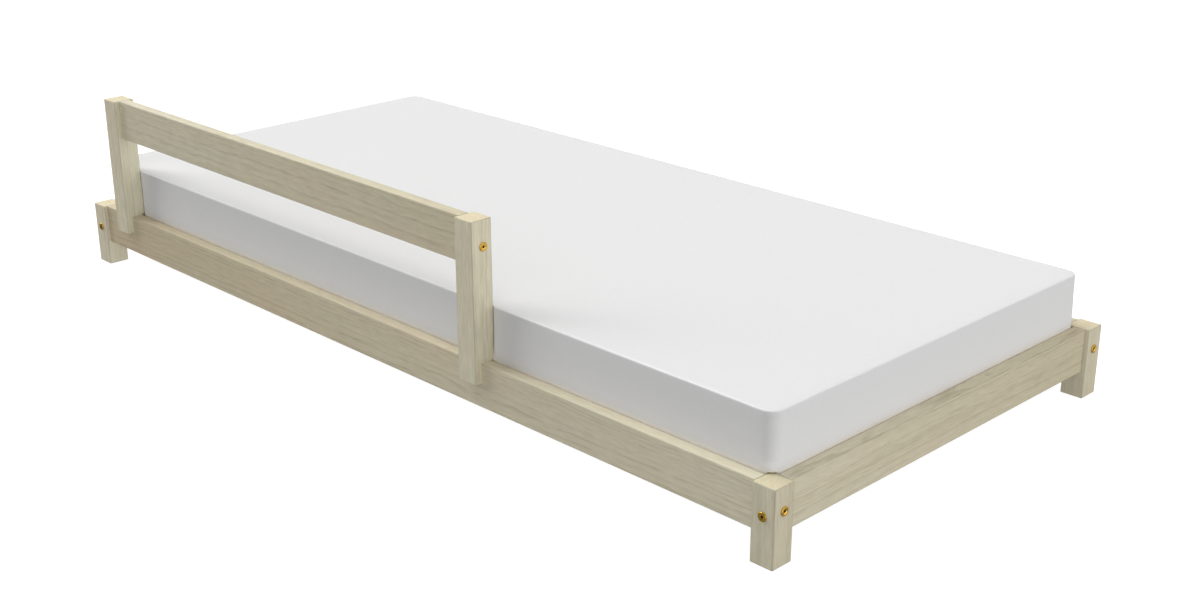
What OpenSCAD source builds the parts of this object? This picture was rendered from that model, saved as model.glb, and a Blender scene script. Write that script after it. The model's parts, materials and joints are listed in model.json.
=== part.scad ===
// Low bed for a child: four square posts, rails bolted between them, slats on
// ledgers, a guard rail along part of the front and a loose foam mattress.
// Millimetres, +Z up, +X along the bed. The front, with the guard rail, faces -Y.
// The origin is on the floor, midway between the outermost faces.

/* [Mattress] */
// Length of the mattress
mattress_length = 2000; // [1700:10:2200]
// Width of the mattress
mattress_width = 900; // [700:10:1200]
// Thickness of the mattress along its edges
mattress_thickness = 140; // [100:5:180]
// How far the top swells above the edges
mattress_crown = 3; // [1:0.5:8]
// Radius of the round along the top and bottom edges
mattress_edge_r = 7; // [3:1:12]
// How far a side is drawn in midway between two corners
mattress_side_pull = 2; // [0.5:0.5:4]
// Room between the mattress and an end rail
mattress_end_gap = 7; // [4:1:12]
// Room between the mattress and a side rail
mattress_side_gap = 8; // [5:1:12]
// Room between the mattress's round corner and a corner post
mattress_corner_gap = 1.2; // [0.5:0.1:3]
// Room between the mattress and the slats
mattress_seat_gap = 0.3; // [0.3:0.1:0.5]

/* [Posts and rails] */
// Side of a square corner post
post_side = 47; // [42:1:56]
// Height of the rails' lower edges above the floor
foot_height = 55; // [30:1:120]
// Height of a rail
rail_height = 87; // [80:1:120]
// Thickness of a rail
rail_thickness = 26; // [22:1:30]
// How far a rail lies behind the outer face of its posts
rail_setback = 7; // [3:0.5:10]
// Radius of the eased edges of all planed wood
edge_r = 2; // [1:0.5:3]

/* [Slatted base] */
// Number of slats
slat_count = 15; // [12:1:18]
// Width of a slat
slat_width = 75; // [55:1:85]
// Thickness of a slat
slat_thickness = 18; // [14:1:22]
// Room between a slat's end and the side rail
slat_end_gap = 2; // [1:0.5:4]
// Height of a ledger
ledger_height = 32; // [26:1:38]
// Depth of a ledger, inwards from its rail
ledger_depth = 25; // [20:1:35]
// Room between a ledger's end and the corner post
ledger_end_gap = 3; // [1:0.5:6]

/* [Guard rail] */
// Distance from the left end of the bed to the guard rail
guard_offset = 114; // [70:1:200]
// Length of the guard rail over its posts
guard_length = 1272; // [900:1:1400]
// Height of the guard rail above the side rail
guard_rise = 272; // [255:1:320]
// Side of a square guard post
guard_post_side = 47; // [44:1:52]
// How far a guard post's tongue runs down over the side rail
guard_lap = 40; // [34:1:60]
// Room between a guard post and the mattress
guard_mattress_gap = 1; // [0.5:0.5:2]
// Height of the guard board
guard_board_height = 87; // [80:1:100]
// Thickness of the guard board
guard_board_thickness = 24; // [22:1:28]

/* [Bolts and barrel nuts] */
// Diameter of a bolt's shank
bolt_d = 6; // [5:0.5:7]
// Diameter of a bolt's head
bolt_head_d = 17; // [15:0.5:19]
// Height of a bolt's head
bolt_head_h = 2.5; // [2:0.1:3.5]
// Width of the raised rim of a bolt's head
bolt_rim = 3.2; // [2.5:0.1:4]
// Depth of the dish inside the rim
bolt_dish = 1; // [0.5:0.1:1.5]
// Width of the hexagonal socket across its flats
bolt_socket = 4; // [3:0.5:4]
// Depth of the hexagonal socket below the rim
bolt_socket_depth = 3.5; // [3:0.5:5]
// How far a bolt runs on past its nut's axis
bolt_overrun = 8; // [6:1:12]
// Room around a bolt in wood, on the radius
bolt_clearance = 0.5; // [0.3:0.1:1]
// Height between the bolts of a side rail and of an end rail
bolt_stagger = 10; // [9:0.5:14]
// How far a guard bolt lies below the middle of the board
guard_bolt_drop = 7; // [0:1:8]
// Diameter of a barrel nut
nut_d = 10; // [9:0.5:11]
// Length of a barrel nut
nut_length = 18; // [15:0.5:19]
// Width and depth of the screwdriver slot in a barrel nut's end
nut_slot = 1.2; // [0.8:0.1:1.6]
// How far a barrel nut's end lies under the wood's inner face
nut_recess = 0.5; // [0.3:0.1:1]
// Distance from the end of a rail to the axis of its barrel nut
nut_setback = 35; // [32:1:45]
// Room around a barrel nut, and around the bolt inside it, on the radius
nut_clearance = 0.1; // [0.05:0.05:0.2]

/* [Dowels and screws] */
// Diameter of a dowel
dowel_d = 8; // [6:1:9]
// How far a dowel reaches into a rail or board
dowel_board_depth = 20; // [14:1:24]
// Wood left between the crossing dowels of a corner post
dowel_web = 3; // [2:0.5:6]
// Distance from a board's upper or lower edge to a dowel's axis
dowel_edge = 18; // [16:1:22]
// Bevel on a dowel's ends
dowel_bevel = 1; // [0.5:0.5:2]
// Room around a dowel on the radius, and at each of its ends
dowel_clearance = 0.1; // [0.05:0.05:0.2]
// Diameter of a slat screw
slat_screw_d = 3.5; // [3:0.5:4.5]
// How far a slat screw bites into the ledger
slat_screw_bite = 14; // [10:1:18]
// Diameter of a ledger screw
ledger_screw_d = 4; // [3.5:0.5:5]
// How far a ledger screw bites into the side rail
ledger_screw_bite = 17; // [12:1:19]
// Diameter of a guard screw
guard_screw_d = 5; // [4:0.5:6]
// How far a guard screw bites into the tongue
guard_screw_bite = 9; // [6:1:10]
// Distance between the two screws of a guard post
guard_screw_spacing = 22; // [18:1:26]
// Room around a screw on the radius, and at its point
screw_clearance = 0.1; // [0.05:0.05:0.2]

/* [Hidden] */
$fn = 48;
// How far a cut runs out past the face that it opens on
over = 1;

pine = "#CDC3A6";
brass = "#C9A040";
steel = "#A9ABAD";
beech = "#C8A883";
ticking = "#ECECEA";

// Outer size of the frame, worked out from the mattress that it holds. Y values are
// distances from the bed's centre line, for the back, and are mirrored for the front.
inner_length = mattress_length + 2 * mattress_end_gap;
inner_width = mattress_width + 2 * mattress_side_gap;
bed_length = inner_length + 2 * (rail_thickness + rail_setback);
bed_width = inner_width + 2 * (rail_thickness + rail_setback);
side_rail_length = bed_length - 2 * post_side;
end_rail_length = bed_width - 2 * post_side;
rail_top = foot_height + rail_height;

// Slatted base
ledger_inner = inner_width / 2 - ledger_depth;
ledger_top = foot_height + ledger_height;
slat_top = ledger_top + slat_thickness;
slat_length = inner_width - 2 * slat_end_gap;
slat_pitch = inner_length / slat_count;

// Guard rail, whose posts stand just outside the mattress
guard_x = -bed_length / 2 + guard_offset + guard_length / 2;
guard_board_length = guard_length - 2 * guard_post_side;
guard_inner = mattress_width / 2 + guard_mattress_gap;
guard_outer = guard_inner + guard_post_side;
guard_board_inner = guard_inner + (guard_post_side - guard_board_thickness) / 2;
guard_top = rail_top + guard_rise;
guard_board_z = guard_top - guard_board_height;
guard_foot = rail_top - guard_lap;

// The frame is moved along Y until its outermost faces lie alike about the origin
back_reach = bed_width / 2 + bolt_head_h;
front_reach = max(guard_outer, back_reach);
frame_y = (front_reach - back_reach) / 2;

// Hardware. A bolt meets the middle of its nut, and dowels stop short of the ones that
// cross them in a corner post.
bolt_depth = nut_recess + nut_length / 2;
rail_middle = rail_setback + rail_thickness / 2;
dowel_post_depth = post_side - rail_middle - dowel_d / 2 - dowel_web;
side_bolt_z = foot_height + rail_height / 2;
end_bolt_z = side_bolt_z - bolt_stagger;
guard_bolt_z = guard_board_z + guard_board_height / 2 - guard_bolt_drop;
slat_screw_length = slat_thickness + slat_screw_bite;
ledger_screw_length = ledger_depth + ledger_screw_bite;
guard_screw_length = rail_thickness + guard_screw_bite;

// One joint of a board that ends on a post, as drawn at the board's +X end: X of the
// board's end, side of the post, Y of the board's inner face, thickness of the board,
// height of the bolt, and lower and upper edge of the board
side_joint = [side_rail_length / 2, post_side, inner_width / 2, rail_thickness,
              side_bolt_z, [foot_height, rail_top]];
end_joint = [end_rail_length / 2, post_side, inner_length / 2, rail_thickness,
             end_bolt_z, [foot_height, rail_top]];
guard_joint = [guard_board_length / 2, guard_post_side, guard_board_inner,
               guard_board_thickness, guard_bolt_z, [guard_board_z, guard_top]];
function joint_x(joint) = joint[0];
function joint_post(joint) = joint[1];
function joint_face(joint) = joint[2];
function joint_middle(joint) = joint[2] + joint[3] / 2;
function joint_bolt_z(joint) = joint[4];
function joint_dowel_z(joint) = [joint[5][0] + dowel_edge, joint[5][1] - dowel_edge];
function bolt_length(joint) = joint_post(joint) + nut_setback + bolt_overrun;

// Mattress. Its upright corners are round enough to pass the corner posts.
past_post_x = post_side - rail_setback - rail_thickness - mattress_end_gap;
past_post_y = post_side - rail_setback - rail_thickness - mattress_side_gap;
mattress_corner_r = max(2 * mattress_edge_r,
    past_post_x + past_post_y + mattress_corner_gap
    + sqrt(2 * max(0, past_post_x + mattress_corner_gap) * max(0, past_post_y + mattress_corner_gap)));
mattress_z = slat_top + mattress_seat_gap;
corner_steps = 5;
side_steps = 8;
round_steps = 3;
crown_scales = [0.9, 0.75, 0.5];

function slat_node(i) = str("slat_", i < 10 ? "0" : "", i);
function slat_x(i) = (i - (slat_count + 1) / 2) * slat_pitch;

// Everything on the bed's centre line, moved to its place about the origin
module on_bed() translate([0, frame_y, 0]) children();

// What is drawn for the back right quarter, mirrored to the quarter with the signs sx, sy
module quarter(sx, sy) {
    mirror([sx < 0 ? 1 : 0, 0, 0]) mirror([0, sy < 0 ? 1 : 0, 0]) children();
}

module both_ends(sy) {
    for (sx = [-1, 1]) quarter(sx, sy) children();
}

module each_quarter() {
    for (sy = [-1, 1]) both_ends(sy) children();
}

// What is drawn about the middle of a guard rail at the back, placed at the front
module both_guard_ends() {
    translate([guard_x, 0, 0]) both_ends(-1) children();
}

// What is drawn for a side rail, turned to serve an end rail
module for_end_rail() mirror([1, -1, 0]) children();

// Rectangle w by h with rounded corners, from its lower left corner
module eased_rectangle(w, h) {
    translate([edge_r, 0]) square([w - 2 * edge_r, h]);
    translate([0, edge_r]) square([w, h - 2 * edge_r]);
    for (x = [edge_r, w - edge_r], y = [edge_r, h - edge_r]) translate([x, y]) circle(r = edge_r);
}

// Planed block of the size s with every edge eased, from its lowest corner
module eased_block(s) {
    intersection() {
        linear_extrude(s.z) eased_rectangle(s.x, s.y);
        translate([0, s.y, 0]) rotate([90, 0, 0]) linear_extrude(s.y) eased_rectangle(s.x, s.z);
        rotate([90, 0, 90]) linear_extrude(s.x) eased_rectangle(s.y, s.z);
    }
}

// Planed block that spans from corner a to corner b
module timber(a, b) {
    color(pine) translate(a) eased_block(b - a);
}

// Fasteners and their holes are drawn from the face that they enter, and run towards +Z.
// The places below turn and move them.

module hole(d, depth) {
    translate([0, 0, -over]) cylinder(d = d, h = depth + over);
}

// Connector bolt whose head has a round rim and a dish that leads to a hexagonal socket
module bolt(length) {
    rim_r = bolt_head_h / 2;
    bend = [for (a = [0 : 15 : 90]) [bolt_head_d / 2 - rim_r * (1 - cos(a)), -rim_r * (1 + sin(a))]];
    color(brass) difference() {
        union() {
            rotate_extrude() polygon(concat(
                [[0, 0], [bolt_head_d / 2, 0]],
                bend,
                [[bolt_head_d / 2 - bolt_rim, -bolt_head_h],
                 [bolt_socket / 2, bolt_dish - bolt_head_h],
                 [0, bolt_dish - bolt_head_h]]));
            cylinder(d = bolt_d, h = length);
        }
        translate([0, 0, -bolt_head_h - over])
            cylinder(d = bolt_socket / cos(30), h = bolt_socket_depth + over, $fn = 6);
    }
}

// Barrel nut, slotted end first, whose threaded hole runs along X
module barrel_nut() {
    color(steel) difference() {
        cylinder(d = nut_d, h = nut_length);
        translate([-nut_d, 0, nut_length / 2]) rotate([0, 90, 0])
            cylinder(d = bolt_d + 2 * nut_clearance, h = 2 * nut_d);
        translate([-nut_d, -nut_slot / 2, -over]) cube([2 * nut_d, nut_slot, nut_slot + over]);
    }
}

// Round dowel with bevelled ends, or with a clearance the hole for it. The joint's face
// is at z = 0, with the post below it and the board above it.
module dowel(clearance = 0, bevel = 0) {
    r = dowel_d / 2 + clearance;
    low = -dowel_post_depth - clearance;
    high = dowel_board_depth + clearance;
    rotate_extrude() polygon(concat(
        [[0, low], [r - bevel, low]],
        bevel > 0 ? [[r, low + bevel], [r, high - bevel]] : [],
        [[r - bevel, high], [0, high]]));
}

// Countersunk screw
module screw(d, length) {
    color(steel) rotate_extrude()
        polygon([[0, 0], [d, 0], [d / 2, d / 2], [d / 2, length - d], [0, length]]);
}

module screw_hole(d, length) {
    r = d / 2 + screw_clearance;
    end = length + screw_clearance;
    rotate_extrude() polygon([[0, -over], [2 * r + over, -over], [r, r], [r, end], [0, end]]);
}

// Places in one joint
module bolt_place(joint) {
    x = joint_x(joint) + joint_post(joint);
    translate([x, joint_face(joint) + bolt_depth, joint_bolt_z(joint)]) rotate([0, -90, 0]) children();
}

module nut_place(joint) {
    translate([joint_x(joint) - nut_setback, joint_face(joint), joint_bolt_z(joint)])
        rotate([-90, 0, 0]) children();
}

module dowel_places(joint) {
    for (z = joint_dowel_z(joint))
        translate([joint_x(joint), joint_middle(joint), z]) rotate([0, -90, 0]) children();
}

// All that is drilled for one joint, in its post and in its board
module joint_holes(joint) {
    bolt_place(joint) hole(bolt_d + 2 * bolt_clearance, bolt_length(joint) + bolt_clearance);
    nut_place(joint) hole(nut_d + 2 * nut_clearance, nut_recess + nut_length + nut_clearance);
    dowel_places(joint) dowel(dowel_clearance);
}

module joint_bolt(joint) {
    bolt_place(joint) bolt(bolt_length(joint));
}

module joint_nut(joint) {
    nut_place(joint) translate([0, 0, nut_recess]) barrel_nut();
}

module joint_dowels(joint) {
    color(beech) dowel_places(joint) dowel(bevel = dowel_bevel);
}

// Places of the screws, at the +X end of the back or of the guard rail
module ledger_screw_places() {
    for (gap = [1 : 2 : (slat_count - 1) / 2])
        translate([inner_length / 2 - gap * slat_pitch, ledger_inner, foot_height + ledger_height / 2])
            rotate([-90, 0, 0]) children();
}

module slat_screw_place(i) {
    translate([slat_x(i), ledger_inner + ledger_depth / 2, slat_top]) rotate([180, 0, 0]) children();
}

module guard_screw_places() {
    for (side = [-1, 1])
        translate([(guard_length - guard_post_side + side * guard_screw_spacing) / 2,
                   inner_width / 2, rail_top - guard_lap / 2])
            rotate([-90, 0, 0]) children();
}

module corner_post(sx, sy) {
    on_bed() quarter(sx, sy) difference() {
        timber([side_rail_length / 2, end_rail_length / 2, 0], [bed_length / 2, bed_width / 2, rail_top]);
        joint_holes(side_joint);
        for_end_rail() joint_holes(end_joint);
    }
}

module side_rail(sy) {
    outer = inner_width / 2 + rail_thickness;
    on_bed() difference() {
        quarter(1, sy)
            timber([-side_rail_length / 2, inner_width / 2, foot_height],
                   [side_rail_length / 2, outer, rail_top]);
        both_ends(sy) {
            joint_holes(side_joint);
            ledger_screw_places() screw_hole(ledger_screw_d, ledger_screw_length);
        }
        if (sy < 0) both_guard_ends() guard_screw_places() screw_hole(guard_screw_d, guard_screw_length);
    }
}

module end_rail(sx) {
    outer = inner_length / 2 + rail_thickness;
    on_bed() difference() {
        quarter(sx, 1)
            timber([inner_length / 2, -end_rail_length / 2, foot_height],
                   [outer, end_rail_length / 2, rail_top]);
        for (sy = [-1, 1]) quarter(sx, sy) for_end_rail() joint_holes(end_joint);
    }
}

module slat_ledger(sy) {
    reach = side_rail_length / 2 - ledger_end_gap;
    on_bed() difference() {
        quarter(1, sy)
            timber([-reach, ledger_inner, foot_height], [reach, inner_width / 2, ledger_top]);
        both_ends(sy) ledger_screw_places() screw_hole(ledger_screw_d, ledger_screw_length);
        for (i = [1 : slat_count])
            quarter(1, sy) slat_screw_place(i) screw_hole(slat_screw_d, slat_screw_length);
    }
}

module slat(i) {
    on_bed() difference() {
        timber([slat_x(i) - slat_width / 2, -slat_length / 2, ledger_top],
               [slat_x(i) + slat_width / 2, slat_length / 2, slat_top]);
        for (sy = [-1, 1])
            quarter(1, sy) slat_screw_place(i) screw_hole(slat_screw_d, slat_screw_length);
    }
}

// The post stands on the side rail, and a tongue laps down over the rail's outer face
module guard_post(sx) {
    rail_outer = inner_width / 2 + rail_thickness;
    on_bed() translate([guard_x, 0, 0]) quarter(sx, -1) difference() {
        timber([guard_board_length / 2, guard_inner, guard_foot], [guard_length / 2, guard_outer, guard_top]);
        translate([guard_board_length / 2 - over, guard_inner - over, guard_foot - over])
            cube([guard_post_side + 2 * over, rail_outer - guard_inner + over, guard_lap + over]);
        joint_holes(guard_joint);
        guard_screw_places() screw_hole(guard_screw_d, guard_screw_length);
    }
}

module guard_board() {
    reach = guard_board_length / 2;
    on_bed() difference() {
        translate([guard_x, 0, 0]) quarter(1, -1)
            timber([-reach, guard_board_inner, guard_board_z],
                   [reach, guard_board_inner + guard_board_thickness, guard_top]);
        both_guard_ends() joint_holes(guard_joint);
    }
}

module post_front_left() corner_post(-1, -1);
module post_front_right() corner_post(1, -1);
module post_back_left() corner_post(-1, 1);
module post_back_right() corner_post(1, 1);
module side_rail_front() side_rail(-1);
module side_rail_back() side_rail(1);
module end_rail_left() end_rail(-1);
module end_rail_right() end_rail(1);
module slat_ledger_front() slat_ledger(-1);
module slat_ledger_back() slat_ledger(1);
module guard_post_left() guard_post(-1);
module guard_post_right() guard_post(1);

// Hardware, like with like
module frame_bolts() {
    on_bed() each_quarter() {
        joint_bolt(side_joint);
        for_end_rail() joint_bolt(end_joint);
    }
}

module frame_barrel_nuts() {
    on_bed() each_quarter() {
        joint_nut(side_joint);
        for_end_rail() joint_nut(end_joint);
    }
}

module frame_dowels() {
    on_bed() each_quarter() {
        joint_dowels(side_joint);
        for_end_rail() joint_dowels(end_joint);
    }
}

module guard_bolts() on_bed() both_guard_ends() joint_bolt(guard_joint);
module guard_barrel_nuts() on_bed() both_guard_ends() joint_nut(guard_joint);
module guard_dowels() on_bed() both_guard_ends() joint_dowels(guard_joint);

module guard_screws() {
    on_bed() both_guard_ends() guard_screw_places() screw(guard_screw_d, guard_screw_length);
}

module ledger_screws() {
    on_bed() each_quarter() ledger_screw_places() screw(ledger_screw_d, ledger_screw_length);
}

module slat_screws() {
    on_bed() for (sy = [-1, 1], i = [1 : slat_count])
        quarter(1, sy) slat_screw_place(i) screw(slat_screw_d, slat_screw_length);
}

// Point at the angle a on the corner q of the mattress's outline, drawn in by an inset.
// Corner 0 is the back right one, and the others follow it anticlockwise.
function corner_point(q, a, inset) =
    [sign(cos(90 * q + 45)) * (mattress_length / 2 - mattress_corner_r),
     sign(sin(90 * q + 45)) * (mattress_width / 2 - mattress_corner_r)]
    + (mattress_corner_r - inset) * [cos(a), sin(a)];

// Points between the corner q and the next one, drawn in most at the middle
function side_points(q, inset) =
    let (a = 90 * (q + 1), from = corner_point(q, a, inset), to = corner_point(q + 1, a, inset))
    [for (k = [1 : side_steps - 1])
        let (t = k / side_steps, pull = mattress_side_pull * (1 - cos(360 * t)) / 2)
        from + t * (to - from) - pull * [cos(a), sin(a)]];

function corner_points(q, inset) =
    [for (k = [0 : corner_steps]) corner_point(q, 90 * (q + k / corner_steps), inset)];

function outline(inset) =
    [for (q = [0 : 3]) each concat(corner_points(q, inset), side_points(q, inset))];

// Rings of the mattress from the bottom up: inset, height and scale of each
function mattress_rings() = concat(
    [for (k = [0 : round_steps])
        let (a = 90 * k / round_steps)
        [mattress_edge_r * (1 - sin(a)), mattress_edge_r * (1 - cos(a)), 1]],
    [for (k = [0 : round_steps])
        let (a = 90 * k / round_steps)
        [mattress_edge_r * (1 - cos(a)), mattress_thickness - mattress_edge_r * (1 - sin(a)), 1]],
    [for (s = crown_scales)
        [mattress_edge_r, mattress_thickness + mattress_crown * (1 - pow(s, 4)), s]]);

module mattress() {
    rings = mattress_rings();
    count = len(outline(0));
    top = (len(rings) - 1) * count;
    bottom_centre = len(rings) * count;
    top_centre = bottom_centre + 1;
    points = concat(
        [for (ring = rings, p = outline(ring[0])) [p.x * ring[2], p.y * ring[2], ring[1]]],
        [[0, 0, 0], [0, 0, mattress_thickness + mattress_crown]]);
    bands = [for (k = [0 : len(rings) - 2], i = [0 : count - 1])
        let (a = k * count + i, b = k * count + (i + 1) % count)
        each [[a, a + count, b + count], [a, b + count, b]]];
    caps = [for (i = [0 : count - 1])
        let (j = (i + 1) % count)
        each [[bottom_centre, i, j], [top_centre, top + j, top + i]]];
    color(ticking) on_bed() translate([0, 0, mattress_z])
        polyhedron(points = points, faces = concat(bands, caps));
}

post_front_left();
post_front_right();
post_back_left();
post_back_right();
side_rail_front();
side_rail_back();
end_rail_left();
end_rail_right();
slat_ledger_front();
slat_ledger_back();
for (i = [1 : slat_count]) slat(i);
guard_post_left();
guard_post_right();
guard_board();
frame_bolts();
frame_barrel_nuts();
frame_dowels();
guard_bolts();
guard_barrel_nuts();
guard_dowels();
guard_screws();
ledger_screws();
slat_screws();
mattress();
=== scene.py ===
# %% [markdown]
# # A low child's bed in planed pine
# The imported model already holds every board, bolt and slat at its true size. This
# lesson dresses it: wood that was grown and planed, bolts that were turned and
# plated, and a mattress that is soft. We load the bed first, because each finish
# is placed by the boards themselves.

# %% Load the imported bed
import json
import math
import random

import bmesh
import bpy
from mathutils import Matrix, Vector


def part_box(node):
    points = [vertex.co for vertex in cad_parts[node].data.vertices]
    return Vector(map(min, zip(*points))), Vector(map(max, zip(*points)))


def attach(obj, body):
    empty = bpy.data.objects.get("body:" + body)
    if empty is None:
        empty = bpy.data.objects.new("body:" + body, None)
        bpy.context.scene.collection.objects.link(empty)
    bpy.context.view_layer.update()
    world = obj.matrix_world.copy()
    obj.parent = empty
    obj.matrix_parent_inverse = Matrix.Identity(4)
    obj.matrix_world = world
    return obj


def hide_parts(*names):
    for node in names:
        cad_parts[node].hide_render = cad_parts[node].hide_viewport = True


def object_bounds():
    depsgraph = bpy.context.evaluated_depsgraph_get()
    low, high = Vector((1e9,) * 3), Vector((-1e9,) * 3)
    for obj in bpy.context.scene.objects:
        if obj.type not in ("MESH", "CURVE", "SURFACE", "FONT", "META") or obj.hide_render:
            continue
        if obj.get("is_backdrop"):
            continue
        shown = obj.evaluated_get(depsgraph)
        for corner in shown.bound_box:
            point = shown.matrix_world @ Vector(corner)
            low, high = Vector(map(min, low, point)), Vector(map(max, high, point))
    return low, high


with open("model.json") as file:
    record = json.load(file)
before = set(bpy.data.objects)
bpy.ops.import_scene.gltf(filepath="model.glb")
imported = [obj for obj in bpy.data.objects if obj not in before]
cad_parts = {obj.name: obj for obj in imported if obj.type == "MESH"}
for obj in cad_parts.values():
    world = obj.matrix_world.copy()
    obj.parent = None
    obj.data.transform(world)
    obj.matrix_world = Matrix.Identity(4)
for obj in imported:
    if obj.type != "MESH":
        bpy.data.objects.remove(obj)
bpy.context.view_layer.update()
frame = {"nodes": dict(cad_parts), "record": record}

MM = 0.001

# %% [markdown]
# ## Where the picture is taken from
# The bed was photographed from its near corner, a little above the guard rail. A
# camera can be placed by eye, or worked out from edges whose real sizes are known.
# Here it is worked out: the long edges of the rails and of the mattress fix where
# it stands, how far it turns and how long its lens is.

# %% Set the camera
PICTURE_WIDTH = 1200
FOCAL_PIXELS = 1642.0
SENSOR_WIDTH = 36.0
CAMERA_PLACE = (2.4428, -2.2606, 1.3039)
DEGREES_DOWN, DEGREES_LEFT = 20.967, 45.192
catalogue_camera = bpy.data.cameras.new("catalogue_camera")
catalogue_camera.sensor_width = SENSOR_WIDTH
catalogue_camera.lens = FOCAL_PIXELS * SENSOR_WIDTH / PICTURE_WIDTH
camera = bpy.data.objects.new("catalogue_camera", catalogue_camera)
camera.location = CAMERA_PLACE
camera.rotation_euler = (math.radians(90 - DEGREES_DOWN), 0, math.radians(DEGREES_LEFT))
bpy.context.collection.objects.link(camera)
bpy.context.scene.camera = camera
print("lens", round(catalogue_camera.lens, 2), "mm")

# %% [markdown]
# ## Two small tools for finishes
# Colours are easiest to judge as sRGB hex values, but light adds up in linear
# numbers, so one function turns the first into the second. A finish is a web of
# nodes, so another function adds one node with its settings and its links. With
# these two, each finish reads as a list of what its maker did.

# %% Colours and nodes
def linear(hex_colour):
    """The linear colour of an sRGB hex value."""
    parts = [int(hex_colour[i:i + 2], 16) / 255 for i in (1, 3, 5)]
    bent = [p / 12.92 if p <= 0.04045 else ((p + 0.055) / 1.055) ** 2.4 for p in parts]
    return (*bent, 1.0)


def add(tree, kind, sockets=None, **settings):
    """Adds a node. A socket takes a value, an output, or a node's first output."""
    node = tree.nodes.new("ShaderNode" + kind)
    for setting, value in settings.items():
        setattr(node, setting, value)
    for name, value in (sockets or {}).items():
        if isinstance(value, bpy.types.Node):
            value = value.outputs[0]
        if isinstance(value, bpy.types.NodeSocket):
            tree.links.new(value, node.inputs[name])
        else:
            node.inputs[name].default_value = value
    return node


def new_finish(name):
    """A material with one Principled shader, and its node tree."""
    finish = bpy.data.materials.new(name)
    finish.use_nodes = True
    return finish, finish.node_tree, finish.node_tree.nodes["Principled BSDF"]


print("white", linear("#FFFFFF"), "grey", [round(c, 3) for c in linear("#777777")])

# %% [markdown]
# ## Planed pine
# A pine board is a slice of a trunk. Each year's ring is pale wood that ends in a
# thin darker line, and the board shows these lines wherever its faces cut them:
# long and gently wavy along the grain, round on the ends. A striped picture could
# be laid on each face, but then the lines would break at every edge. So the rings
# are solid here. Each board has its own pith line, somewhere beside it, and colour
# follows the distance from that line, so faces, ends and joints agree. A sawn end
# shows open fibres, so it is a little warmer there and its rings are fainter.
#
# The real rings lie about 3 mm apart, and most boards are cut along them, so their
# faces show a line only every 10 to 20 mm. The rings are drawn 12 mm apart here,
# which brings the lines of any cut as far apart as the picture has them.

# %% Values of the pine
RING = 12 * MM
SWAY = 40 * MM
RIPPLE = 11 * MM
PALE, LINE = "#E0DBCA", "#C6BEA8"
ROSY, GREENISH = "#FFF6EE", "#F3FAF0"
# Near the heart at a board's end, painted shade on the side that faces +X, and on a sawn end.
HEART, PLUS_X_SHADE_TINT, END_GRAIN = "#EEE6DC", "#E4E0DA", "#FFFAF0"
# Painted shade on the upright and level arrises, and painted light on the upward faces.
UPRIGHT_ARRIS_SHADE, LEVEL_ARRIS_SHADE, TOP_PAINTED_LIGHT = 0.78, 0.83, 1.04
# How fast the width of a year changes, in cells per metre, and by how many rings.
YEAR_CHANGE, YEAR_SPREAD = 45, 2.2
FAINTEST_LINE = 0.25
LINE_RELIEF, RELIEF_STRENGTH, RELIEF_DEPTH = 0.5, 0.35, 0.15 * MM
GRAIN_TURN = {
    "X": (0, 0, 0),
    "Y": (0, 0, math.radians(90)),
    "Z": (0, math.radians(-90), 0),
}
# Each layer of noise: cells per metre along the grain and across it, how many finer
# layers it holds, how rough they are, and what is added to the board's seed.
LAYERS = {
    "bend": (1.1, 9, 2, 0.5, 0),
    "ripple": (13, 40, 2, 0.5, 3),
    "dips": (22, 90, 2, 0.5, 9),
    "fibre": (30, 260, 3, 0.6, 5),
    "drift": (2.2, 14, 2, 0.5, 7),
}
# How one measure turns into another, as settings of a Map Range node.
SUMMER = {"From Min": 0.35, "From Max": 0.9}
WINTER = {"From Min": 0.9, "From Max": 1.0, "To Min": 1.0, "To Max": 0.0}
DIPPED = {"From Min": 0.35, "From Max": 0.6, "To Min": 0.2, "To Max": 1.0}
ACROSS_FIBRES = {"From Min": 0.8, "From Max": 0.95}
FAINT_ON_ENDS = {"To Min": 1.0, "To Max": 0.45}
STREAKED = {"From Min": 0.3, "From Max": 0.7, "To Min": 0.91, "To Max": 1.08}
FACING = {"From Min": 0.5, "From Max": 0.95}
ROUNDED = {"From Min": 0.08, "From Max": 0.35, "To Min": 1.0}
PLANED = {"To Min": 0.58, "To Max": 0.46}
print("rings", RING / MM, "mm apart, swaying", SWAY / MM, "mm")


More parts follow.
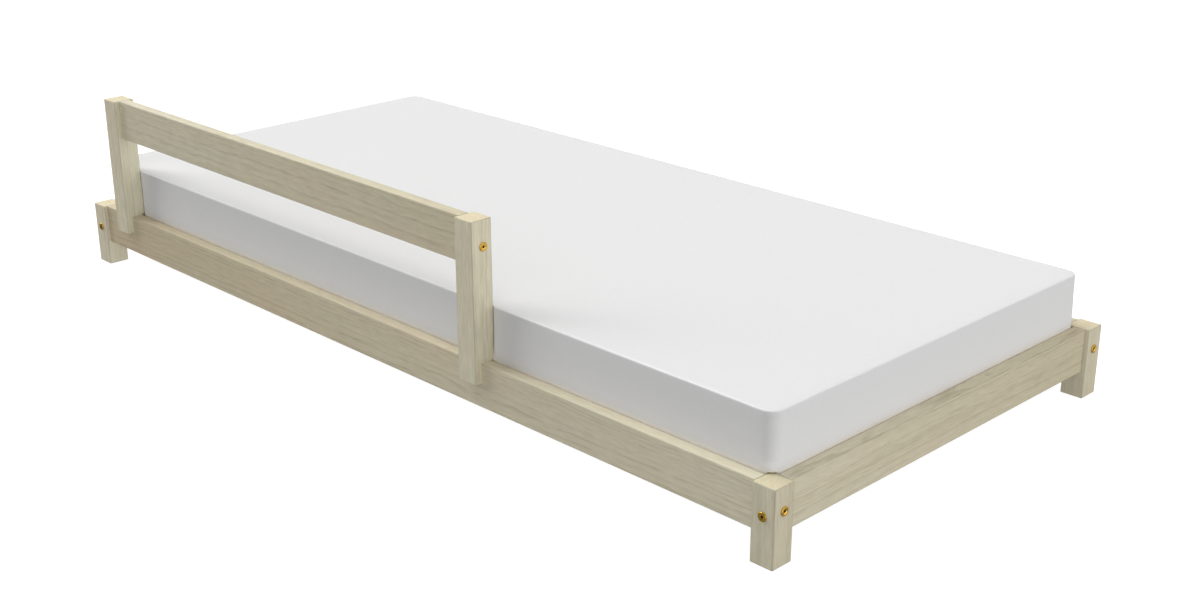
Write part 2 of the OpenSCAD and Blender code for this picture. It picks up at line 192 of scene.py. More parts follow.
# %% One board's own pine
def planed_pine(name, grain, pith, lean, seed, tone, reach, heart, plus_x_shade, boldness):
    """Pine whose rings run round a pith line that passes through the point pith.
    tone darkens the whole board, heart the end of it that lies at reach, the next argument
    paints shade on the side that faces +X, and boldness says how dark its lines are."""
    finish, tree, shader = new_finish("planed_pine_" + name)
    pale, dark = ([c * t for c, t in zip(linear(hue), linear(tone))] for hue in (PALE, LINE))
    turn = [a + b for a, b in zip(GRAIN_TURN[grain], lean)]
    board = add(tree, "Mapping", {
        "Vector": add(tree, "TexCoord").outputs["Object"],
        "Location": pith, "Rotation": turn}, vector_type="TEXTURE")
    noise = {}
    for layer, (along, over, finer, rough, shift) in LAYERS.items():
        noise[layer] = add(tree, "TexNoise", {
            "Vector": add(tree, "VectorMath", {0: board, 1: (along, over, over)},
                          operation="MULTIPLY"),
            "W": seed + shift, "Scale": 1, "Detail": finer, "Roughness": rough},
            noise_dimensions="4D")

    # The trunk bends slowly along its length, and its rings ripple a little.
    bent = board
    for layer, width in (("bend", SWAY), ("ripple", RIPPLE)):
        bent = add(tree, "VectorMath", {
            0: noise[layer].outputs["Color"], 1: (0, width, width), 2: bent},
            operation="MULTIPLY_ADD")
    across = add(tree, "VectorMath", {0: bent, 1: (0, 1, 1)}, operation="MULTIPLY")
    from_pith = add(tree, "VectorMath", {0: across}, operation="LENGTH").outputs["Value"]

    # Some years are wide and some narrow, and some end in a fainter line.
    years = add(tree, "TexNoise", {
        "W": add(tree, "Math", {0: from_pith, 1: YEAR_CHANGE, 2: seed},
                 operation="MULTIPLY_ADD"),
        "Scale": 1, "Detail": 1}, noise_dimensions="1D")
    year = add(tree, "Math", {
        0: from_pith, 1: 1 / RING,
        2: add(tree, "Math", {0: years, 1: YEAR_SPREAD}, operation="MULTIPLY")},
        operation="MULTIPLY_ADD")
    season = add(tree, "Math", {0: year}, operation="FRACT")
    count = add(tree, "Math", {0: year}, operation="FLOOR")
    strength = add(tree, "MapRange", {
        "Value": add(tree, "TexWhiteNoise", {
            "W": add(tree, "Math", {0: count, 1: seed}, operation="ADD")},
            noise_dimensions="1D"),
        "To Min": FAINTEST_LINE * boldness, "To Max": boldness})
    summer, winter = (
        add(tree, "MapRange", {"Value": season, **part}, interpolation_type="SMOOTHSTEP")
        for part in (SUMMER, WINTER))

    # The line fades and comes back every few centimetres, where the fibres dip. A sawn
    # end shows the fibres from their tips, so its rings are fainter.
    faces = add(tree, "SeparateXYZ", {0: add(tree, "TexCoord").outputs["Normal"]})
    facing = add(tree, "Math", {0: faces.outputs[grain]}, operation="ABSOLUTE")
    sawn = add(tree, "MapRange", {"Value": facing, **ACROSS_FIBRES})
    line = add(tree, "Math", {0: summer, 1: winter}, operation="MULTIPLY")
    for fainter in (
            strength, add(tree, "MapRange", {"Value": noise["dips"], **DIPPED}),
            add(tree, "MapRange", {"Value": sawn, **FAINT_ON_ENDS})):
        line = add(tree, "Math", {0: line, 1: fainter}, operation="MULTIPLY")

    # The tint drifts along the board. It is darker near the heart of the trunk at one end,
    # has painted shade on the side that faces +X, and is warmer on a sawn end.
    drifting = add(tree, "Mix", {
        "Factor": noise["drift"], "A": linear(ROSY), "B": linear(GREENISH)},
        data_type="RGBA")
    ripe = add(tree, "MapRange", {
        "Value": add(tree, "SeparateXYZ", {0: board}).outputs["X"],
        "From Min": -reach, "From Max": reach})
    inner_end = add(tree, "Math", {0: ripe, 1: heart}, operation="MULTIPLY")
    # Painted shade on the faces that point to +X.
    plus_x_shading = add(tree, "MapRange", {
        "Value": faces.outputs["X"], **FACING, "To Max": plus_x_shade})
    wood = add(tree, "Mix", {"Factor": line, "A": pale, "B": dark}, data_type="RGBA")
    for factor, tint in (
            (1.0, drifting.outputs["Result"]), (inner_end, linear(HEART)),
            (plus_x_shading, linear(PLUS_X_SHADE_TINT)), (sawn, linear(END_GRAIN))):
        wood = add(tree, "Mix", {
            "Factor": factor, "A": wood.outputs["Result"], "B": tint},
            data_type="RGBA", blend_type="MULTIPLY")

    # Fibres are fine streaks along the grain. The upward faces get a little painted light,
    # and the arrises get painted shade.
    shade = add(tree, "MapRange", {"Value": noise["fibre"], **STREAKED})
    # Painted light: faces that point up are made a little paler.
    top_lit = add(tree, "MapRange", {
        "Value": faces.outputs["Z"], **FACING, "To Min": 1.0, "To Max": TOP_PAINTED_LIGHT})
    shade = add(tree, "Math", {0: shade, 1: top_lit}, operation="MULTIPLY")
    # Painted shade along each arris: darker where the normal lies between two axes.
    for one, two, darkest in (
            ("X", "Y", UPRIGHT_ARRIS_SHADE), ("X", "Z", LEVEL_ARRIS_SHADE), ("Y", "Z", LEVEL_ARRIS_SHADE)):
        both = add(tree, "Math", {0: faces.outputs[one], 1: faces.outputs[two]},
                   operation="MULTIPLY")
        arris_shade = add(tree, "MapRange", {
            "Value": add(tree, "Math", {0: both}, operation="ABSOLUTE"),
            **ROUNDED, "To Max": darkest})
        shade = add(tree, "Math", {0: shade, 1: arris_shade}, operation="MULTIPLY")
    colour = add(tree, "VectorMath", {
        0: wood.outputs["Result"], "Scale": shade.outputs[0]}, operation="SCALE")

    # Planing leaves the hard lines a little proud and a little smoother.
    relief = add(tree, "Math", {0: line, 1: LINE_RELIEF, 2: noise["fibre"]},
                 operation="MULTIPLY_ADD")
    roughness = add(tree, "MapRange", {"Value": line, **PLANED})
    bump = add(tree, "Bump", {
        "Height": relief, "Strength": RELIEF_STRENGTH, "Distance": RELIEF_DEPTH})
    tree.links.new(colour.outputs["Vector"], shader.inputs["Base Color"])
    tree.links.new(roughness.outputs[0], shader.inputs["Roughness"])
    tree.links.new(bump.outputs[0], shader.inputs["Normal"])
    shader.inputs["IOR"].default_value = 1.5
    shader.inputs["Specular IOR Level"].default_value = 0.12
    return finish


print("pine ready")

# %% [markdown]
# ## Which way each board's grain runs
# Timber is sawn along the trunk, so the grain follows a board's longest side:
# along the bed in the side rails, across it in the slats, upright in the posts.
# A board is rarely cut from the middle of the trunk. Each gets a pith line 25 to
# 70 mm off its own centre, in a direction drawn with a fixed seed, so every run
# of the script saws the same boards.
#
# Boards from one stack still differ a little. Most have the plain tone. The guard posts and
# two corner posts are paler. Some boards were cut nearer the heart of the trunk at one end,
# so they are browner there: the front rail at its left, the near end rail at its back, the
# guard board at its right. Some boards get painted shade on the side that faces +X. All posts
# were cut from straighter stock with fainter lines.

# %% Saw every board
PLAIN = "#FAF9F9"
TONE = {
    "guard_post_left": "#FFFFFF", "guard_post_right": "#FFFFFF",
    "post_front_left": "#FFFFFF", "post_back_right": "#FFFFFF", "side_rail_front": "#FCFBFB"}
# Which end lies nearest to the heart of the trunk, and how far it shows.
HEART_END = {
    "side_rail_front": (-1, 1.0), "end_rail_right": (1, 0.65), "guard_board": (1, 0.5)}
# Painted shade on the side that faces +X, board by board.
SHADED_PLUS_X = {
    "post_front_right": 0.5, "post_back_right": 0.5, "end_rail_right": 0.3,
    "guard_post_right": 0.15}
BOLDNESS = {"guard_post": 0.75, "post": 0.45, "": 1.0}
NEAREST_PITH, FURTHEST_PITH = 25, 70
LEAN, OTHER_HEARTS = 0.5, 0.3
FIRST_SEED, SEED_STEP = 100, 11.0
pine_boards = [s["node"] for s in frame["record"]["subparts"] if s["material_slot"] == "pine"]
for number, name in enumerate(pine_boards):
    saw = random.Random(FIRST_SEED + number)
    low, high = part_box(name)
    sides = high - low
    longest = max(range(3), key=lambda i: sides[i])
    distance = saw.uniform(NEAREST_PITH, FURTHEST_PITH) * MM
    angle = saw.uniform(0, 2 * math.pi)
    offset = [0.0, 0.0, 0.0]
    offset[(longest + 1) % 3] = distance * math.cos(angle)
    offset[(longest + 2) % 3] = distance * math.sin(angle)
    pith = (low + high) / 2 + Vector(offset)
    lean = [math.radians(saw.uniform(-LEAN, LEAN)) for _ in range(3)]
    end, heart = HEART_END.get(name, (saw.choice((-1, 1)), saw.uniform(0, OTHER_HEARTS)))
    kind = next(kind for kind in BOLDNESS if kind in name)
    board = frame["nodes"][name]
    board.data.materials.clear()
    board.data.materials.append(planed_pine(
        name, "XYZ"[longest], tuple(pith), lean, SEED_STEP * number, TONE.get(name, PLAIN),
        end * sides[longest] / 2, heart, SHADED_PLUS_X.get(name, 0.0), BOLDNESS[kind]))
print("boards", len(pine_boards))

# %% [markdown]
# ## Brass-plated bolts
# The bolts are steel, turned on a lathe and plated with yellow brass. Turning leaves rings
# that are finer than a hair, and these stretch each highlight. Plain yellow paint would look
# flat, because a metal has no colour of its own but only tints what it reflects. So the base
# is metallic, and a fine noise breaks up the roughness as handling does. Each small hexagon
# socket gets painted shade, a near-black colour, so we need to know where each socket is.

# %% Find the sockets
SOCKET = 2.3 * MM
SOCKET_EDGE = 0.3 * MM
HEAD = 1 * MM


def middle(points):
    """The middle of the box round some points."""
    return Vector([
        (min(p[i] for p in points) + max(p[i] for p in points)) / 2 for i in range(3)])


bolt_low, bolt_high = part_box("frame_bolts")
bolt_points = [v.co for v in frame["nodes"]["frame_bolts"].data.vertices]
guard_points = [v.co for v in frame["nodes"]["guard_bolts"].data.vertices]
bed_middle = (bolt_low + bolt_high) / 2
guard_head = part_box("guard_bolts")[1].x
side_socket = middle([p for p in bolt_points if p.x > bolt_high.x - HEAD and p.y < 0])
end_socket = middle([p for p in bolt_points if p.y < bolt_low.y + HEAD and p.x > 0])
guard_socket = middle([p for p in guard_points if p.x > guard_head - HEAD])
for socket in (side_socket, end_socket, guard_socket):
    print("socket at", [round(c / MM, 1) for c in socket])

# %% Plate the bolts
brass, tree, shader = new_finish("brass_plated_turned_steel")
metal = add(tree, "TexCoord").outputs["Object"]
# Each socket gets painted shade: its colour is made nearly black.
# The bed's four corners match, so one corner's sockets serve for all of them.
centre_line = (0, bed_middle.y, 0)
folded = add(tree, "VectorMath", {
    0: add(tree, "VectorMath", {0: metal, 1: centre_line}, operation="SUBTRACT")},
    operation="ABSOLUTE")
nearest = None
for socket, keep in (
        (side_socket, (0, 1, 1)), (end_socket, (1, 0, 1)), (guard_socket, (0, 1, 1))):
    centre = [abs(socket[i] - centre_line[i]) * keep[i] for i in range(3)]
    distance = add(tree, "VectorMath", {
        0: add(tree, "VectorMath", {0: folded, 1: keep}, operation="MULTIPLY"), 1: centre},
        operation="DISTANCE").outputs["Value"]
    nearest = distance if nearest is None else add(
        tree, "Math", {0: nearest, 1: distance}, operation="MINIMUM")
# Painted shade: 1 inside each socket, 0 outside.
socket_shade = add(tree, "MapRange", {
    "Value": nearest, "From Min": SOCKET, "From Max": SOCKET + SOCKET_EDGE,
    "To Min": 1.0, "To Max": 0.0})
# Smudges are 3 to 4 mm wide, and scratches 0.4 mm apart.
smudges = add(tree, "TexNoise", {"Vector": metal, "Scale": 300, "Detail": 3})
scratches = add(tree, "TexNoise", {"Vector": metal, "Scale": 2500, "Detail": 2})
plating = add(tree, "Mix", {
    "Factor": smudges, "A": linear("#CB9D38"), "B": linear("#E1B957")}, data_type="RGBA")
socket_shaded = add(tree, "Mix", {
    "Factor": socket_shade, "A": plating.outputs["Result"], "B": linear("#3A2B10")},
    data_type="RGBA")
handled = add(tree, "MapRange", {"Value": smudges, "To Min": 0.16, "To Max": 0.34})
scratched = add(tree, "Bump", {
    "Height": scratches, "Strength": 0.15, "Distance": 0.02 * MM})
tree.links.new(socket_shaded.outputs["Result"], shader.inputs["Base Color"])
tree.links.new(handled.outputs[0], shader.inputs["Roughness"])
tree.links.new(scratched.outputs[0], shader.inputs["Normal"])
shader.inputs["Metallic"].default_value = 1.0
print(brass.name, len(tree.nodes), "nodes")

# %% [markdown]
# ## Zinc-plated nuts and screws
# Barrel nuts and screws are cheap steel parts, plated with zinc in a drum. The
# zinc is a cool grey with a soft, slightly cloudy shine.

# %% Plate the nuts and screws
zinc, tree, shader = new_finish("zinc_plated_steel")
metal = add(tree, "TexCoord").outputs["Object"]
# Clouds of zinc are 2 to 3 mm across.
clouds = add(tree, "TexNoise", {"Vector": metal, "Scale": 420, "Detail": 4})
coating = add(tree, "Mix", {
    "Factor": clouds, "A": linear("#B3B7BA"), "B": linear("#D3D6D8")}, data_type="RGBA")
shine = add(tree, "MapRange", {"Value": clouds, "To Min": 0.25, "To Max": 0.45})
cloudy = add(tree, "Bump", {"Height": clouds, "Strength": 0.1, "Distance": 0.03 * MM})
tree.links.new(coating.outputs["Result"], shader.inputs["Base Color"])
tree.links.new(shine.outputs[0], shader.inputs["Roughness"])
tree.links.new(cloudy.outputs[0], shader.inputs["Normal"])
shader.inputs["Metallic"].default_value = 1.0
print(zinc.name, len(tree.nodes), "nodes")

# %% [markdown]
# ## Beech dowels
# Dowels are turned from beech, a denser and pinker wood than pine. It has no wide
# rings to see on an 8 mm pin, only short brown flecks, so flecks and a slow tint
# are all that it needs.

# %% Turn the dowels
beech, tree, shader = new_finish("turned_beech")
pin = add(tree, "TexCoord").outputs["Object"]
# Flecks are 1 mm wide. The grain isn't lined up, since pins lie along X and along Y.
flecks = add(tree, "TexNoise", {"Vector": pin, "Scale": 900, "Detail": 2})
fleck = add(tree, "MapRange", {
    "Value": flecks, "From Min": 0.58, "From Max": 0.7}, interpolation_type="SMOOTHSTEP")
turned = add(tree, "Mix", {
    "Factor": fleck, "A": linear("#D5B28C"), "B": linear("#A97C54")}, data_type="RGBA")
pitted = add(tree, "Bump", {"Height": flecks, "Strength": 0.2, "Distance": 0.05 * MM})
tree.links.new(turned.outputs["Result"], shader.inputs["Base Color"])
tree.links.new(pitted.outputs[0], shader.inputs["Normal"])
shader.inputs["Roughness"].default_value = 0.6
print(beech.name, len(tree.nodes), "nodes")

# %% Put each metal and the beech on its pieces
finish_of_slot = {"brass": brass, "steel": zinc, "beech": beech}
for subpart in frame["record"]["subparts"]:
    finish = finish_of_slot.get(subpart["material_slot"])
    if finish:
        mesh = frame["nodes"][subpart["node"]].data
        mesh.materials.clear()
        mesh.materials.append(finish)
        print(subpart["node"], finish.name)

# %% [markdown]
# ## The mattress: a block of foam
# The mattress is one block of foam in a tight white cover. Its upright corners are
# round, its top and bottom edges have a small round, and its underside lies flat on
# the slats. A cube can be beveled into this in two passes: first the four upright
# corners with a wide radius, then both rims with a small one. Planes then cut it
# into a grid, so that the cover has something to swell with.

# %% Cut the foam
foam_low, foam_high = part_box("mattress")
CORNER = 28 * MM
RIM = 2.8 * MM
CROWN = 1 * MM
SHARP = 1.2
PROUD = Vector((3.7, 5.5, 0)) * MM
foam_size = foam_high - foam_low + 2 * PROUD - Vector((0, 0, CROWN))
foam_centre = (foam_low + foam_high) / 2 - Vector((0, 0, CROWN / 2))
foam = bmesh.new()
bmesh.ops.create_cube(foam, size=1.0)
bmesh.ops.scale(foam, vec=foam_size, verts=foam.verts)
bmesh.ops.translate(foam, vec=foam_centre, verts=foam.verts)


def is_upright(edge):
    return abs(edge.verts[0].co.z - edge.verts[1].co.z) > foam_size.z / 2


def is_rim(edge):
    return len(edge.link_faces) == 2 and abs(edge.calc_face_angle(0)) > SHARP


bmesh.ops.bevel(
    foam, geom=[e for e in foam.edges if is_upright(e)], offset=CORNER, affect="EDGES",
    segments=8, profile=0.5, material=-1)
bmesh.ops.bevel(
    foam, geom=[e for e in foam.edges if is_rim(e)], offset=RIM, affect="EDGES",
    segments=3, profile=0.5, material=-1)
print("foam", [round(s / MM) for s in foam_size], "mm,", len(foam.verts), "vertices")

# %% [markdown]
# The grid is about 25 mm wide. Cutting with planes keeps every face flat, and it
# doesn't care how the corners were made. More cuts go where the cover has to bend
# round something hard: beside each guard post, and near the tops of the corner posts.

# %% Cut the grid
GRID = 25 * MM
SAME_PLACE = 1e-6
POST_CUTS = (0, 1.5, 3.5, 6)
LEVEL_CUTS = (-4, 1, 2, 3, 5, 8, 12, 18)
half = foam_size / 2
post_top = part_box("post_front_right")[1].z
guard_posts = [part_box("guard_post_left"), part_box("guard_post_right")]


def slice_at(axis, place):
    """Cuts the foam across an axis at this place, in the bed's own frame."""
    normal, point = [0, 0, 0], foam_centre.copy()
    normal[axis], point[axis] = 1, place
    bmesh.ops.bisect_plane(
        foam, geom=foam.verts[:] + foam.edges[:] + foam.faces[:], plane_co=point,
        plane_no=normal, dist=SAME_PLACE)


for axis, margin in ((0, CORNER), (1, CORNER), (2, RIM)):
    reach = half[axis] - margin
    steps = round(2 * reach / GRID)
    for step in range(steps + 1):
        slice_at(axis, foam_centre[axis] - reach + 2 * reach * step / steps)
for low, high in guard_posts:
    for away in POST_CUTS:
        slice_at(0, low.x - away * MM)
        slice_at(0, high.x + away * MM)
for above in LEVEL_CUTS:
    slice_at(2, post_top + above * MM)
print("grid", len(foam.faces), "faces")

# %% [markdown]
# ## The mattress fills its frame
# A new foam mattress is a little larger than its nominal size. It is pushed down
# between the rails, so its lower part takes their shape and fills the frame but for a
# millimetre. One function gives the outline at each height. It moves points along X
# and along Y alone, and stretches the round corners apart from the straight sides, so
# every corner stays a true round. The near corner was pushed home harder than the
# others, so between the rails it is tighter than above them.

# %% Push the foam into the frame
ROOM = 1 * MM
LOW_CORNER = 16 * MM
BLEND = 300 * MM
# Heights above the corner posts' tops. The sides taper from the first, and the near
# corner grows round again between the other two.
TAPER_FROM, ROUND_FROM, ROUND_TO = -10 * MM, 2 * MM, 25 * MM
rail_inside = Vector((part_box("end_rail_right")[0].x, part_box("side_rail_back")[0].y, 0))
filled = rail_inside - foam_centre - Vector((ROOM, ROOM, 0))


def ease(value, start, stop):
    """0 before start, 1 after stop, and smooth between them."""
    part = min(max((value - start) / (stop - start), 0), 1)
    return part * part * (3 - 2 * part)


def outline_at(z):
    """Half the length and width of the mattress at a height, and how tight a corner is."""
    taper = ease(z, post_top + TAPER_FROM, foam_centre.z + half.z)
    tight = 1 - ease(z, post_top + ROUND_FROM, post_top + ROUND_TO)
    return [filled[axis] + (half[axis] - filled[axis]) * taper for axis in (0, 1)], tight


for vertex in foam.verts:
    sides, tight = outline_at(vertex.co.z)
    spot = vertex.co - foam_centre
    pushed_home = ease(spot.x, 0, BLEND) * ease(-spot.y, 0, BLEND)
    corner = CORNER - (CORNER - LOW_CORNER) * tight * pushed_home
    for axis in (0, 1):
        place = vertex.co[axis] - foam_centre[axis]
        straight = half[axis] - CORNER
        if abs(place) <= straight:
            moved = abs(place) * (sides[axis] - corner) / straight
        else:
            moved = sides[axis] - corner + (abs(place) - straight) * corner / CORNER
        vertex.co[axis] = foam_centre[axis] + math.copysign(moved, place)
print("filled to", [round(2 * side / MM, 1) for side in filled[:2]], "mm")

# %% [markdown]
# ## Posts press into the foam
# The corner posts stand inside the rails' corners, so each one notches a corner of the
# mattress. The foam bulges out again just over the post's top and hides its inner
# corner. The guard posts press shallow dents into the front. A boolean cut could make
# both, but its sharp edges would look like a saw's. Here points are pushed instead,
# each by as much as it would lie inside the post, and the cover closes smoothly.

# %% Press the corner posts in
NOTCH_ROOM = 1.4 * MM
NOTCH_GIVE = 1.15
# The foam closes again between these two heights above the post.
NOTCH_END, NOTCH_CLOSED = 1 * MM, 3 * MM
corner_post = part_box("post_front_right")[0]
notch = rail_inside.x - ROOM - corner_post.x + NOTCH_ROOM
for vertex in foam.verts:
    sides = outline_at(vertex.co.z)[0]
    spot = vertex.co - foam_centre
    short = [sides[axis] - abs(spot[axis]) for axis in (0, 1)]
    press = NOTCH_GIVE * max(notch - max(short), 0)
    press *= 1 - ease(vertex.co.z, post_top + NOTCH_END, post_top + NOTCH_CLOSED)
    for axis in (0, 1):
        vertex.co[axis] -= math.copysign(press, spot[axis])
print("notch", round(notch / MM, 1), "mm")

# %% Press the guard posts in, and raise the crown
PRESS_ROOM = 0.5 * MM
# A dent closes between the first two distances beside its post, and dies out in the
# foam over the third.
PRESS_EDGE, PRESS_REACH, PRESS_DEPTH = 1 * MM, 6 * MM, 30 * MM
# It grows between these heights, measured from the tops of the corner posts.
PRESS_FROM, PRESS_FULL = -25 * MM, -3 * MM
START_CROWN = 0.5 * MM
CROWN_FALL = 4
TOP_LAYER = 0.1 * MM
for vertex in foam.verts:
    front = foam_centre.y - outline_at(vertex.co.z)[0][1]
    for low, high in guard_posts:
        beside = max(low.x - vertex.co.x, vertex.co.x - high.x, 0)
        press = max(high.y + PRESS_ROOM - front, 0)
        press *= 1 - ease(beside, PRESS_EDGE, PRESS_REACH)
        press *= ease(vertex.co.z, post_top + PRESS_FROM, post_top + PRESS_FULL)
        vertex.co.y += press * (1 - ease(vertex.co.y - front, 0, PRESS_DEPTH))
    spot = vertex.co - foam_centre
    if spot.z > half.z - TOP_LAYER:
        along, over = min(abs(spot.x / half.x), 1), min(abs(spot.y / half.y), 1)
        vertex.co.z += START_CROWN * (1 - along ** CROWN_FALL) * (1 - over ** CROWN_FALL)
bmesh.ops.recalc_face_normals(foam, faces=foam.faces)
mattress_mesh = bpy.data.meshes.new("mattress_cover")
foam.to_mesh(mattress_mesh)
foam.free()
mattress_cover = bpy.data.objects.new("mattress_cover", mattress_mesh)
bpy.context.collection.objects.link(mattress_cover)
start = [v.co.copy() for v in mattress_mesh.vertices]
print("mattress", len(start), "vertices")

# %% [markdown]
# ## The cover swells a little
# Foam pushes its cover out in the middle of each side more than near its edges. A
# drawn curve gives the main shape. A short cloth simulation with a little pressure
# inside then adds the small uneven give that a drawn curve lacks. Gravity stays off,
# because the foam holds the cover up. Each point may only move a little, so the
# mattress stays clear of the rails and posts that stand 1 mm away from it.

# %% Let the cover swell
PRESSURE = 4.0
MOMENTS = 20
# How far the top and the sides may move, and the moves that these limits even out.
TOP_GIVE, TOP_MOVE = 0.5 * MM, 12 * MM
SIDE_GIVE, SIDE_MOVE = 0.3 * MM, 6 * MM
# The parts of the height where the sides and the top begin and end.
SIDE_FROM, SIDE_TO, TOP_FROM = 0.05, 0.95, 0.99
on_slats = mattress_cover.vertex_groups.new(name="on_slats")
resting = [i for i, co in enumerate(start) if co.z < foam_low.z + 1 * MM]
on_slats.add(resting, 1.0, "REPLACE")
swell = mattress_cover.modifiers.new("swell", "CLOTH")
swell.settings.quality = 5
swell.settings.use_pressure = True
swell.settings.uniform_pressure_force = PRESSURE
swell.settings.vertex_group_mass = "on_slats"
swell.settings.effector_weights.gravity = 0
swell.point_cache.frame_start, swell.point_cache.frame_end = 1, MOMENTS
for moment in range(1, MOMENTS + 1):
    bpy.context.scene.frame_set(moment)
depsgraph = bpy.context.evaluated_depsgraph_get()
swollen = mattress_cover.evaluated_get(depsgraph).data
moved = [v.co - start[i] for i, v in enumerate(swollen.vertices)]
mattress_cover.modifiers.remove(swell)
bpy.context.scene.frame_set(1)
for vertex, origin, move in zip(mattress_mesh.vertices, start, moved):
    height = (origin.z - foam_low.z) / foam_size.z
    flat = Vector((move.x, move.y, 0))
    step = Vector()
    if SIDE_FROM < height < SIDE_TO:
        step = flat.normalized() * SIDE_GIVE * math.tanh(flat.length / SIDE_MOVE)
    if height > TOP_FROM:
        step.z = TOP_GIVE * math.tanh(max(move.z, 0) / TOP_MOVE)
    vertex.co = origin + step
print("largest move before the limits", round(max(m.length for m in moved) / MM, 1), "mm")

# %% Round the cover off
smooth = mattress_cover.modifiers.new("smooth", "SUBSURF")
smooth.levels = smooth.render_levels = 1
mattress_mesh.shade_smooth()
print("smoothed", smooth.levels, "time")

# %% [markdown]
# ## A woven cotton cover
# The cover is plain white cotton, woven tight and pulled tight, so from a few steps
# away it is only a soft, matt white. Near by, the threads show. A cover can be
# shown by a flat white, but it would look like plaster. So the threads are drawn as
# waves along all three directions: on each side of the block, two of them cross.
# Real threads lie 0.5 mm apart. They are drawn 2 mm apart, or they would never show.
# Painted light is added too: a pale warm glow at the rails' tops, and a painted highlight on
# the long rims.

# %% Weave the cover
THREAD = 2 * MM
# The painted highlight on the long rims, and how far the painted warm glow at the rails' tops
# reaches.
RIM_HIGHLIGHT = 1.14
RAIL_GLOW_REACH = 9 * MM
cotton, tree, shader = new_finish("woven_white_cotton")
cloth = add(tree, "TexCoord").outputs["Object"]
turns = add(tree, "VectorMath", {
    0: cloth, "Scale": 2 * math.pi / THREAD}, operation="SCALE")
waves = add(tree, "VectorMath", {0: turns.outputs["Vector"]}, operation="SINE")
weave = add(tree, "VectorMath", {0: waves.outputs["Vector"], 1: (1, 1, 1)},
            operation="DOT_PRODUCT").outputs["Value"]
# Slubs are short thicker lengths of thread, and the foam shows through as slow hollows.
slubs = add(tree, "TexNoise", {"Vector": cloth, "Scale": 160, "Detail": 3})
hollows = add(tree, "TexNoise", {"Vector": cloth, "Scale": 5, "Detail": 2})
woven = add(tree, "Mix", {
    "Factor": slubs, "A": linear("#DADADA"), "B": linear("#DFDFDF")}, data_type="RGBA")
# Painted light: near the rails' tops the cover is made paler and warmer, as if lit by the
# wood.
above_rail = add(tree, "Math", {
    0: add(tree, "SeparateXYZ", {0: cloth}).outputs["Z"], 1: post_top},
    operation="SUBTRACT")
rail_glow = add(tree, "MapRange", {
    "Value": add(tree, "Math", {0: above_rail}, operation="ABSOLUTE"),
    "From Min": -RAIL_GLOW_REACH / 3, "From Max": RAIL_GLOW_REACH, "To Min": 1.0, "To Max": 0.0},
    interpolation_type="SMOOTHSTEP")
rail_glowed = add(tree, "Mix", {
    "Factor": rail_glow, "A": woven.outputs["Result"], "B": linear("#F8F1E5")},
    data_type="RGBA")
# Painted highlight: along the long rims the cover is made whiter.
sides = add(tree, "SeparateXYZ", {0: add(tree, "TexCoord").outputs["Normal"]})
both = add(tree, "Math", {0: sides.outputs["Y"], 1: sides.outputs["Z"]},
           operation="MULTIPLY")
rim_highlight = add(tree, "MapRange", {
    "Value": add(tree, "Math", {0: both}, operation="ABSOLUTE"),
    "From Min": 0.05, "From Max": 0.35, "To Min": 1.0, "To Max": RIM_HIGHLIGHT})
highlighted = add(tree, "VectorMath", {
    0: rail_glowed.outputs["Result"], "Scale": rim_highlight.outputs[0]}, operation="SCALE")
tree.links.new(highlighted.outputs["Vector"], shader.inputs["Base Color"])
# Threads, slubs and hollows: how strongly each shows, and how deep it is.
relief = None
for height, strength, depth in (
        (weave, 0.25, 0.05 * MM), (slubs, 0.3, 0.2 * MM), (hollows, 0.5, 1.5 * MM)):
    below = {} if relief is None else {"Normal": relief}
    relief = add(tree, "Bump", {
        "Height": height, "Strength": strength, "Distance": depth, **below})
tree.links.new(relief.outputs[0], shader.inputs["Normal"])
shader.inputs["Roughness"].default_value = 0.9
shader.inputs["Specular IOR Level"].default_value = 0.25
shader.inputs["Sheen Weight"].default_value = 0.08
shader.inputs["Sheen Roughness"].default_value = 0.5
mattress_mesh.materials.append(cotton)
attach(mattress_cover, "mattress")
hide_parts("mattress")
print(cotton.name, len(tree.nodes), "nodes")

# %% [markdown]
# ## The studio
# The picture has a floor so white that it has no edge, and soft light that is the
# same all along the bed, so the lights must be large and far away. Softboxes near
# the bed would brighten one end. Lamps of the sun kind have no distance at all, and
# a wide angle makes them as soft as a softbox. The strongest two hang on the left, one
# above the other, and one hangs overhead. Four low ones stand round the bed, so that
# each upright face has its own grey. The floor glows a little, like a lit table, so
# that no shadow dirties it, but it throws no light back.

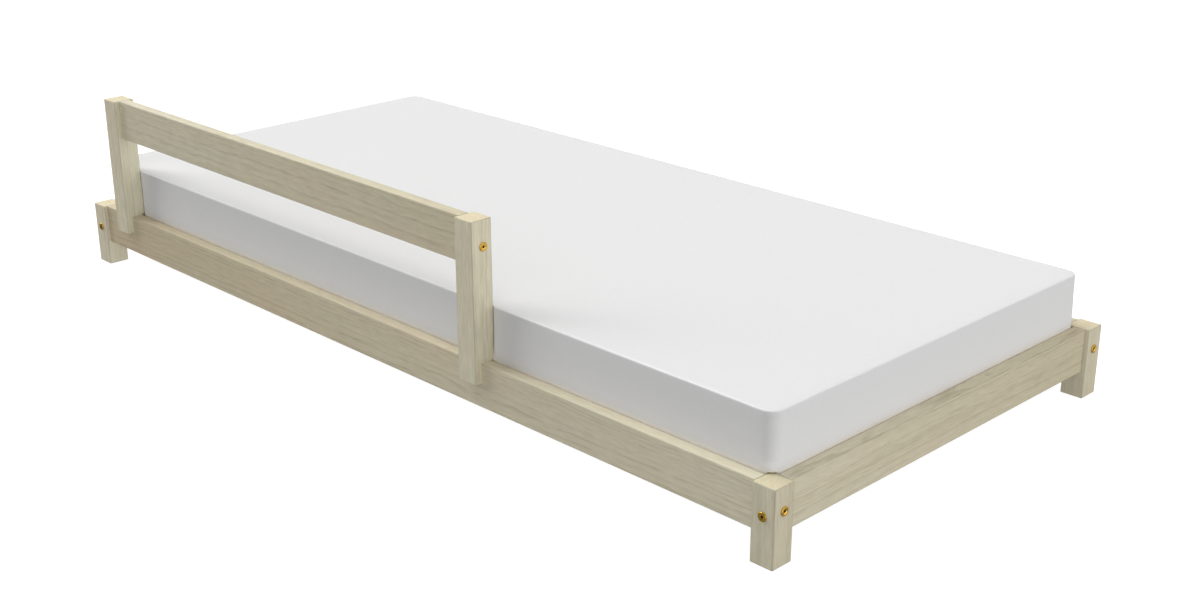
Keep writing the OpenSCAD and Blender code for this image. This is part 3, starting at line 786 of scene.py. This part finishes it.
# %% Lay the floor
FLOOR_SIZE = 40
FLOOR_GLOW = 0.94
floor_shape = bmesh.new()
bmesh.ops.create_grid(floor_shape, x_segments=1, y_segments=1, size=FLOOR_SIZE / 2)
floor_mesh = bpy.data.meshes.new("lit_table")
floor_shape.to_mesh(floor_mesh)
floor_shape.free()
floor = bpy.data.objects.new("lit_table", floor_mesh)
bpy.context.collection.objects.link(floor)
acrylic, tree, shader = new_finish("white_acrylic_table")
shader.inputs["Base Color"].default_value = linear("#8F8F8F")
shader.inputs["Roughness"].default_value = 0.9
shader.inputs["Specular IOR Level"].default_value = 0.0
shader.inputs["Emission Color"].default_value = linear("#FFFFFF")
shader.inputs["Emission Strength"].default_value = FLOOR_GLOW
floor_mesh.materials.append(acrylic)
floor.visible_diffuse = floor.visible_glossy = floor.visible_shadow = False
floor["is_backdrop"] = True
print("floor", FLOOR_SIZE, "m")


# %% Hang the lights
# Each light's direction round the bed, its height and its width, all in degrees, and
# its strength.
SOFTBOXES = {
    "main_light": (180, 35, 45, 0.59),
    "high_light": (180, 55, 45, 0.22),
    "overhead_light": (0, 90, 45, 0.255),
    "left_light": (150, 12, 80, 0.13),
    "guard_side_light": (204, 18, 25, 0.24),
    "front_light": (311, 12, 80, 0.40),
    "right_light": (30, 12, 80, 0.51),
}
for name, (around, height, width, strength) in SOFTBOXES.items():
    lamp = bpy.data.lights.new(name, "SUN")
    lamp.angle = math.radians(width)
    lamp.energy = math.pi * strength
    softbox = bpy.data.objects.new(name, lamp)
    turn, lift = math.radians(around), math.radians(height)
    place = Vector((
        math.cos(turn) * math.cos(lift), math.sin(turn) * math.cos(lift), math.sin(lift)))
    softbox.rotation_euler = place.to_track_quat("Z", "Y").to_euler()
    bpy.context.collection.objects.link(softbox)
    print(name, "strength", strength)

# %% Fill the room
# Soft light comes from below as well, as if thrown back by the table. The camera sees
# white all round.
TABLE_LIGHT = 0.29
room = bpy.data.worlds.new("pale_room")
room.use_nodes = True
bpy.context.scene.world = room
tree = room.node_tree
seen = add(tree, "LightPath").outputs["Is Camera Ray"]
height = add(tree, "SeparateXYZ", {0: add(tree, "TexCoord")}).outputs["Z"]
below = add(tree, "Math", {0: height, 1: 0.0}, operation="LESS_THAN")
fill = add(tree, "Math", {0: below, 1: TABLE_LIGHT}, operation="MULTIPLY")
wall = tree.nodes["Background"]
wall.inputs["Color"].default_value = linear("#FFFFFF")
tree.links.new(add(tree, "Math", {0: fill, 1: seen}, operation="MAXIMUM").outputs[0],
               wall.inputs["Strength"])
bpy.context.scene.view_settings.view_transform = "Standard"
print("view", bpy.context.scene.view_settings.view_transform)

# %% [markdown]
# ## The size of the dressed bed
# The dressed bed must be as large as the imported one. Its box is measured and printed here.

# %% Measure the dressed bed
low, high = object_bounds()
print("visual", [round(side, 4) for side in high - low])
